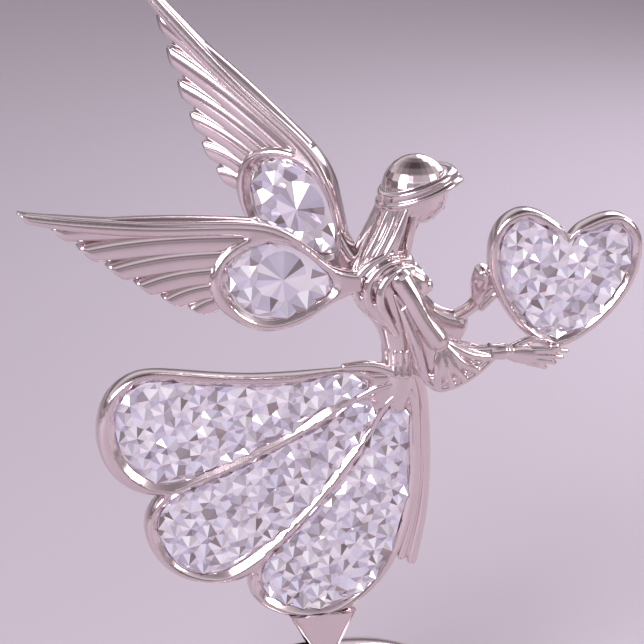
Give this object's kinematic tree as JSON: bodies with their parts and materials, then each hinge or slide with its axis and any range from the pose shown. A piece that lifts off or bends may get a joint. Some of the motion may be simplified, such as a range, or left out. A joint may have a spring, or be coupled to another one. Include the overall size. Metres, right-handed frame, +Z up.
{
  "type": "hood ornament",
  "caption": "Winged figure holding a heart, plated cast frames with clear faceted inserts in skirt, wings and heart, on a sprung fold-back base with two studs.",
  "frame": {"origin": "middle of the face that lies on the hood, straight under the hinge pin", "axes": "+Z up, +X the way the figure faces and the car drives, -Y towards the figure's right"},
  "size_m": [0.1515, 0.0514, 0.1932],
  "materials": {
    "plated_casting": "polished bright plating on a zinc casting, faintly rose",
    "clear_acrylic": "clear cast acrylic, faceted and polished",
    "zinc_plated_steel": "bright zinc plate",
    "spring_steel": "oiled spring steel",
    "black_rubber": "moulded matt rubber"
  },
  "bodies": {
    "base": {"base_casting": "plated_casting", "base_gasket": "black_rubber", "hinge_pin": "zinc_plated_steel", "tilt_springs": "spring_steel", "hood_studs": "zinc_plated_steel", "flat_washers": "zinc_plated_steel", "spring_washers": "spring_steel", "hex_nuts": "zinc_plated_steel"},
    "mascot": {"foot_casting": "plated_casting", "foot_rivets": "plated_casting", "skirt_frame": "plated_casting", "skirt_insert_upper": "clear_acrylic", "skirt_insert_middle": "clear_acrylic", "skirt_insert_lower": "clear_acrylic", "waist_screw": "zinc_plated_steel", "torso": "plated_casting", "head": "plated_casting", "right_arm": "plated_casting", "left_arm": "plated_casting", "heart_frame": "plated_casting", "heart_insert": "clear_acrylic", "heart_pins": "plated_casting", "right_wing_frame": "plated_casting", "right_wing_stone": "clear_acrylic", "left_wing_frame": "plated_casting", "left_wing_stone": "clear_acrylic", "wing_pins": "plated_casting"}
  },
  "joints": [
    {"name": "tilt_back", "type": "hinge", "parent": "base", "child": "mascot", "pos_m": [0, 0, 0.0052], "axis": [0, 1, 0], "range_deg": [-25, 0], "stiffness_Nm_per_rad": 0.6, "springref_deg": 22.92}
  ]
}
